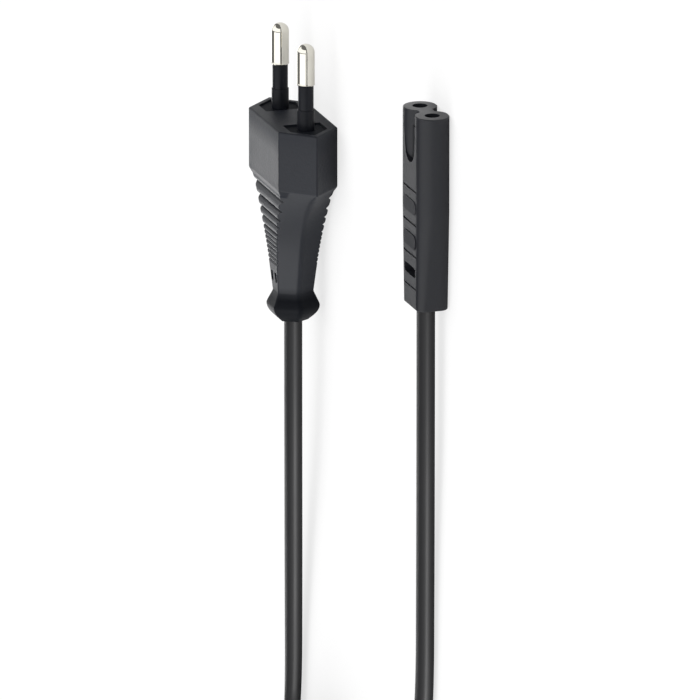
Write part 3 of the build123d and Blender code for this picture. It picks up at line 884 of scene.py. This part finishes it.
def connector_plastic():
    """The connector's plastic: smoother on the contact face, duller on the pads and wide faces."""
    material = moulded(
        "connector_plastic",
        (0.0118, 0.0128, 0.0168),
        spread=0.1,
        roughness=0.48,
        grain=1500,
        relief=0.015,
    )
    tree, shader, parts, rough = moulded_parts(material)
    middle = connector_centre.x
    face = connector_centre.y
    half_width = PAD_SIZE[0] / 2
    half_length = PAD_SIZE[1] / 2
    rows = 0.0
    for station in PAD_STATIONS:
        limits = (-station - half_length, -station + half_length, PAD_SOFTNESS[1])
        rows = math_node(tree, "ADD", zone(tree, parts["Y"], face, limits), rows)
    limits = (-half_width, half_width, PAD_SOFTNESS[0])
    patch = math_node(tree, "MULTIPLY", zone(tree, parts["X"], middle, limits), rows)
    front = zone(tree, parts["Y"], face, FACE_ZONE)
    rough = math_node(tree, "MULTIPLY_ADD", patch, PAD_DULLING, rough)
    rough = math_node(tree, "MULTIPLY_ADD", front, FACE_GLOSS, rough)
    tree.links.new(rough, shader.inputs["Roughness"])
    wide = zone(tree, parts["Z"], 0, WIDE_FACE_ZONE)
    rear = zone(tree, parts["Y"], face, REAR_ZONE)
    loss = math_node(tree, "MULTIPLY_ADD", rear, REAR_LOSS, WIDE_FACE_LOSS)
    sheen = math_node(tree, "SUBTRACT", CONNECTOR_SHEEN, math_node(tree, "MULTIPLY", wide, loss))
    tree.links.new(sheen, shader.inputs["Specular IOR Level"])
    return material


low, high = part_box("connector_body")
connector_centre = Vector(((low.x + high.x) / 2, high.y, NOSE_SIZE[1] / 2 * MM))
connector_finish = connector_plastic()
connector_rows = rim_rows(connector_outline(0), CONNECTOR_EDGE, 0, 1)
connector_rows += [(place, connector_outline(place)) for place in range(1, int(CONNECTOR_LENGTH) + 1)]
connector_rows += rim_rows(connector_outline(CONNECTOR_LENGTH), CONNECTOR_EDGE, CONNECTOR_LENGTH, -1)
connector_body = lofted("connector_moulding", connector_rows, connector_centre)

pads = bmesh.new()
for station in PAD_STATIONS:
    pad = rectangle(PAD_SIZE, PAD_CORNER, station, PAD_STEPS)
    prism(pads, pad, PAD_ROOT, NOSE_SIZE[1] / 2 + PAD_HEIGHT, "Z")
pad_tool = cutter("pads", pads, connector_centre)
marks = bmesh.new()
for station in LINE_STATIONS:
    line = rectangle(LINE_SIZE, LINE_CORNER, station, LINE_STEPS)
    for sign in (-1, 1):
        prism(marks, line, sign * (NOSE_SIZE[1] / 2 - LINE_DEPTH), sign * NOSE_SIZE[1], "Z")
for sign in (-1, 1):
    slot = rectangle(SLOT_SIZE, SLOT_CORNER, SLOT_STATION, SLOT_STEPS)
    prism(marks, slot, sign * SLOT_FLOOR, sign * NOSE_SIZE[1], "Z")
    notch_strips(marks, sign)
mark_tool = cutter("marks", marks, connector_centre)
cut(connector_body, pad_tool, "UNION")
cut(connector_body, mark_tool)
hole_profile = [
    (0, CUT_MARGIN),
    (FACE_HOLE_RADIUS, CUT_MARGIN),
    (FACE_HOLE_RADIUS, -FACE_HOLE_DEPTH),
    (SOCKET_RADIUS, -FACE_HOLE_DEPTH),
    (SOCKET_RADIUS, -SOCKET_DEPTH),
    (0, -SOCKET_DEPTH),
]
hole_tools = []
for sign in (-1, 1):
    hole_axis = connector_centre + Vector((sign * CONTACT_SPACING / 2 * MM, 0, 0))
    hole_tools.append(turned(f"contact_hole_{sign}", hole_profile, hole_axis))
    cut(connector_body, hole_tools[-1])
settle(connector_body, connector_finish, pad_tool, mark_tool, *hole_tools)
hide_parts("connector_body")
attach(connector_body, "root")

# Cable: flat twin cable with a smooth black sheath, moulded into the plug and the connector. Past the
# view the spare length is wound into a coil of two layers, its flat side upright, and goes on to the
# connector. The route's points are in millimetres and the tilts in degrees.
CABLE_WIDTH = 5.7
CABLE_THICK = 3.7
CABLE_FULLNESS = 0.83
PLUG_RUN = [
    (-38.225, -22.525, 6.95),
    (-38.225, -58.0, 6.95),
    (-48.2, -97.0, 3.7),
    (-53.5, -136.0, 2.0),
]
PLUG_RUN_TILT = [0, 0, 0, 8]
CONNECTOR_RUN = [
    (47.775, 4.325, 3.8),
    (47.775, -32.0, 3.8),
    (44.0, -70.0, 2.6),
    (41.8, -109.0, 2.0),
    (32.6, -134.5, 2.5),
    (21.0, -158.0, 5.8),
]
CONNECTOR_RUN_TILT = [0, 0, 0, 0, 14, 62]
COIL_CENTRE = (-23.0, -163.0)
COIL_ENTRY = 172
COIL_TURNS = 7.436
COIL_TILT = 90
TURN_POINTS = 20
OUTER_TURN = 35.45
TURN_PITCH = 3.7
LAYER_HEIGHTS = (3.55, 9.3)
INWARD_STEPS = (0.9, 1.9, 2.9)
CLIMB = 3.6
OUTWARD_STEPS = (4.33, 5.33, 6.33)
STEP_SPAN = 0.24
COILED_ZONE = (-300.0, -129.0, 6.0)
COILED_DULLING = 0.22
# Painted sheen: a lighter colour for the coil, standing in for the gloss its rougher surface loses.
COILED_PAINTED_SHEEN = (0.0145, 0.0145, 0.016)


def eased(turn, middle):
    """From 0 to 1, smoothly, over one step of the winding."""
    share = min(max((turn - middle) / STEP_SPAN + 0.5, 0), 1)
    return share * share * (3 - 2 * share)


def coil_point(turn):
    """Place of the cable after so many turns: in along the lower layer, up, and out on the upper."""
    radius = OUTER_TURN - TURN_PITCH * sum(eased(turn, step) for step in INWARD_STEPS)
    radius += TURN_PITCH * sum(eased(turn, step) for step in OUTWARD_STEPS)
    radius /= cos(pi / TURN_POINTS)
    angle = radians(COIL_ENTRY + 360 * turn)
    height = LAYER_HEIGHTS[0] + (LAYER_HEIGHTS[1] - LAYER_HEIGHTS[0]) * eased(turn, CLIMB)
    return (COIL_CENTRE[0] + radius * cos(angle), COIL_CENTRE[1] + radius * sin(angle), height)


def flat_cable_tree():
    """Sweeps a flat, full oval section along a curve, upright where the curve is tilted."""
    tree, inputs = new_tree("flat_cable", "Width", "Thickness", "Fullness")
    upright = tree.nodes.new("GeometryNodeSetCurveNormal")
    upright.mode = "Z_UP"
    link(tree, inputs, "Geometry", upright, "Curve")
    circle = tree.nodes.new("GeometryNodeCurvePrimitiveCircle")
    circle.inputs["Resolution"].default_value = 40
    circle.inputs["Radius"].default_value = 1.0
    position = tree.nodes.new("GeometryNodeInputPosition")
    parts = tree.nodes.new("ShaderNodeSeparateXYZ")
    link(tree, position, "Position", parts, "Vector")
    joined = tree.nodes.new("ShaderNodeCombineXYZ")
    for axis, size in (("X", "Width"), ("Y", "Thickness")):
        share = parts.outputs[axis]
        size_of_share = math_node(tree, "ABSOLUTE", share)
        filled = math_node(tree, "POWER", size_of_share, inputs.outputs["Fullness"])
        signed = math_node(tree, "MULTIPLY", filled, math_node(tree, "SIGN", share))
        half = math_node(tree, "MULTIPLY", inputs.outputs[size], 0.5)
        tree.links.new(math_node(tree, "MULTIPLY", signed, half), joined.inputs[axis])
    section = tree.nodes.new("GeometryNodeSetPosition")
    link(tree, circle, "Curve", section, "Geometry")
    link(tree, joined, "Vector", section, "Position")
    sweep = tree.nodes.new("GeometryNodeCurveToMesh")
    sweep.inputs["Fill Caps"].default_value = True
    link(tree, upright, "Curve", sweep, "Curve")
    link(tree, section, "Geometry", sweep, "Profile Curve")
    end_tree(tree, inputs, sweep, "Mesh")
    return tree


def cable_plastic():
    """The sheath's soft plastic, smooth on the free runs and rougher on the coil, whose colour is
    lightened as painted sheen.
    """
    material = moulded(
        "cable_sheath",
        (0.0095, 0.0095, 0.0108),
        spread=0.08,
        roughness=0.52,
        grain=900,
        relief=0.006,
        sheen=0.25,
    )
    tree, shader, parts, rough = moulded_parts(material)
    coiled = zone(tree, parts["Y"], 0, COILED_ZONE)
    rough = math_node(tree, "MULTIPLY_ADD", coiled, COILED_DULLING, rough)
    tree.links.new(rough, shader.inputs["Roughness"])
    # Painted sheen: the coil's colour is lightened to stand in for the gloss its rougher surface loses.
    tint = colour_mix(tree, coiled, tree.nodes["Mix"].outputs["Result"], COILED_PAINTED_SHEEN)
    tree.links.new(tint, shader.inputs["Base Color"])
    return material


turn_steps = round(COIL_TURNS * TURN_POINTS)
coil_points = [coil_point(COIL_TURNS * i / turn_steps) for i in range(turn_steps + 1)]
route = PLUG_RUN + coil_points + CONNECTOR_RUN[::-1]
tilts = PLUG_RUN_TILT + [COIL_TILT] * len(coil_points) + CONNECTOR_RUN_TILT[::-1]
cable_line = bpy.data.curves.new("cable_line", "CURVE")
cable_line.dimensions = "3D"
spline = cable_line.splines.new("NURBS")
spline.points.add(len(route) - 1)
for point, place, tilt in zip(spline.points, route, tilts):
    point.co = (*[value * MM for value in place], 1)
    point.tilt = radians(tilt)
spline.order_u = 3
spline.use_endpoint_u = True
spline.resolution_u = 12
line_object = bpy.data.objects.new("cable_line", cable_line)
bpy.context.scene.collection.objects.link(line_object)
line_mesh = bpy.data.meshes.new_from_object(line_object)
run_tree(
    line_object,
    flat_cable_tree(),
    Width=CABLE_WIDTH * MM,
    Thickness=CABLE_THICK * MM,
    Fullness=CABLE_FULLNESS,
    Material=cable_plastic(),
)
cable = bpy.data.objects.new("flat_cable", plain_mesh(line_object))
bpy.data.objects.remove(line_object)
bpy.context.scene.collection.objects.link(cable)
shade(cable)
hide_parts("cable_plug_run", "cable_coil", "cable_connector_run")
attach(cable, "root")

# Tie: a strap that holds the coil's turns together, as a new cord is packed. It is cut from soft
# black plastic, laid once round all the turns and closed underneath.
tie_finish = moulded(
    "tie_strap",
    (0.025, 0.025, 0.027),
    spread=0.15,
    roughness=0.5,
    grain=1200,
    relief=0.02,
)
dress("coil_tie", tie_finish)

# Floor, light and camera: a matt white floor in a plain pale room with soft patches of light, and two
# lamps that show only in the gloss of one piece. A long lens looks from low down on the connector's
# side, turned so that the pins point up. A patch has its limits and softness round Y and along Y.
FLOOR_SIZE = 40.0
FLOOR_CELLS = 8
BOUNCE = 0.6
MIRRORED = 0.86
GLOW = 0.7
ROOM_LEVEL = 0.2
PATCHES = {
    "overhead": {"Around": (20, 102, 4), "Along": (-0.75, -0.17, 0.04), "Strength": 1.58},
    "key": {"Around": (15, 150, 10), "Along": (-0.05, 0.68, 0.04), "Strength": 1.3},
    "far_end": {"Around": (10, 160, 10), "Along": (-1.2, -0.72, 0.06), "Strength": 1.4},
    "low_front": {"Around": (-2, 7, 1), "Along": (-0.6, 0.0, 0.05), "Strength": 1.3},
    "backdrop": {"Around": (166, 182, 2), "Along": (-0.7, 0.2, 0.1), "Strength": 3.7},
}
STRIP_PLACE = (0.35, -0.54, 0.075)
STRIP_TOWARDS = (1, 0, 0)
STRIP_SIZE = (0.68, 0.13)
STRIP_POWER = 8.5
SOFTBOX_AIM = (-0.036, -0.018, 0.009)
SOFTBOX_TOWARDS = (0.543, -0.596, 0.587)
SOFTBOX_DISTANCE = 0.15
SOFTBOX_SIZE = (0.08, 0.08)
SOFTBOX_POWER = 0.045
FRAME_WIDTH = 0.1573
CAMERA_DISTANCE = 4.5
CAMERA_RIGHT = Vector((0.3091, 0, -0.9510))
CAMERA_UP = Vector((-0.2699, 0.9589, -0.0876))
AIM_RIGHT = 0.01274
AIM_UP = -0.0526


def floor_paint():
    """Matt white paint with a barely uneven tone, which the camera sees a little brighter."""
    material, tree, shader, place = new_material("floor_paint")
    shader.inputs["Roughness"].default_value = 0.9
    shader.inputs["Specular IOR Level"].default_value = 0.0
    cloud = noise(tree, place, scale=3.0)
    tint = colour_mix(tree, cloud, (0.97, 0.97, 0.97), (0.98, 0.98, 0.98))
    rays = tree.nodes.new("ShaderNodeLightPath").outputs
    mirrored = math_node(tree, "MAXIMUM", rays["Is Glossy Ray"], rays["Is Transmission Ray"])
    shown = math_node(tree, "MULTIPLY_ADD", mirrored, MIRRORED - BOUNCE, BOUNCE)
    paint = colour_mix(tree, rays["Is Camera Ray"], shown, tint)
    tree.links.new(paint, shader.inputs["Base Color"])
    white = tree.nodes.new("ShaderNodeEmission")
    white.inputs["Strength"].default_value = 1.0
    blend = tree.nodes.new("ShaderNodeMixShader")
    tree.links.new(math_node(tree, "MULTIPLY", rays["Is Camera Ray"], GLOW), blend.inputs["Fac"])
    tree.links.new(shader.outputs["BSDF"], blend.inputs[1])
    tree.links.new(white.outputs["Emission"], blend.inputs[2])
    link(tree, blend, "Shader", tree.nodes["Material Output"], "Surface")
    return material


def studio_light():
    """Light by direction: a plain level all round, and each patch added to it."""
    world = bpy.data.worlds.new("studio")
    world.use_nodes = True
    tree = world.node_tree
    place = tree.nodes.new("ShaderNodeTexCoord")
    parts = tree.nodes.new("ShaderNodeSeparateXYZ")
    link(tree, place, "Generated", parts, "Vector")
    angle = math_node(tree, "ARCTAN2", parts.outputs["Z"], parts.outputs["X"])
    around = math_node(tree, "DEGREES", angle)
    level = ROOM_LEVEL
    for patch in PATCHES.values():
        by_angle = band(tree, around, *patch["Around"])
        by_slope = band(tree, parts.outputs["Y"], *patch["Along"])
        lit = math_node(tree, "MULTIPLY", by_angle, by_slope)
        level = math_node(tree, "ADD", math_node(tree, "MULTIPLY", lit, patch["Strength"]), level)
    background = tree.nodes["Background"]
    tree.links.new(level, background.inputs["Strength"])
    background.inputs["Color"].default_value = (1, 1, 1, 1)
    return world


def gloss_lamp(name, place, towards, size, power, receiver, blocker):
    """An area lamp that shows in the gloss of one piece alone, and that one piece can shade."""
    light = bpy.data.lights.new(name, "AREA")
    light.shape = "RECTANGLE"
    light.size, light.size_y = size
    light.energy = power
    lamp = bpy.data.objects.new(name, light)
    lamp.location = place
    lamp.rotation_euler = Vector(towards).to_track_quat("Z", "Y").to_euler()
    lamp.visible_diffuse = False
    lamp.visible_camera = False
    lit = bpy.data.collections.new(name + "_lights")
    lit.objects.link(receiver)
    lamp.light_linking.receiver_collection = lit
    shaded = bpy.data.collections.new(name + "_shade")
    shaded.objects.link(blocker)
    lamp.light_linking.blocker_collection = shaded
    bpy.context.scene.collection.objects.link(lamp)


floor_mesh = bmesh.new()
bmesh.ops.create_grid(floor_mesh, x_segments=FLOOR_CELLS, y_segments=FLOOR_CELLS, size=FLOOR_SIZE / 2)
floor = as_piece("floor", floor_mesh)
floor.data.materials.append(floor_paint())

bpy.context.scene.world = studio_light()
gloss_lamp("strip", STRIP_PLACE, STRIP_TOWARDS, STRIP_SIZE, STRIP_POWER, cable, plug_body)
softbox_place = Vector(SOFTBOX_AIM) + Vector(SOFTBOX_TOWARDS) * SOFTBOX_DISTANCE
gloss_lamp("softbox", softbox_place, SOFTBOX_TOWARDS, SOFTBOX_SIZE, SOFTBOX_POWER, plug_body, plug_body)

lens = bpy.data.cameras.new("long_lens")
lens.sensor_width = 36.0
lens.lens = lens.sensor_width * CAMERA_DISTANCE / FRAME_WIDTH
lens.clip_end = 100
camera = bpy.data.objects.new("long_lens", lens)
bpy.context.scene.collection.objects.link(camera)
towards = CAMERA_RIGHT.cross(CAMERA_UP)
aim = plug_centre + CAMERA_RIGHT * AIM_RIGHT + CAMERA_UP * AIM_UP
turn = Matrix((CAMERA_RIGHT, CAMERA_UP, towards)).transposed()
camera.matrix_world = Matrix.Translation(aim + towards * CAMERA_DISTANCE) @ turn.to_4x4()
bpy.context.scene.camera = camera
bpy.context.scene.view_settings.view_transform = "Standard"
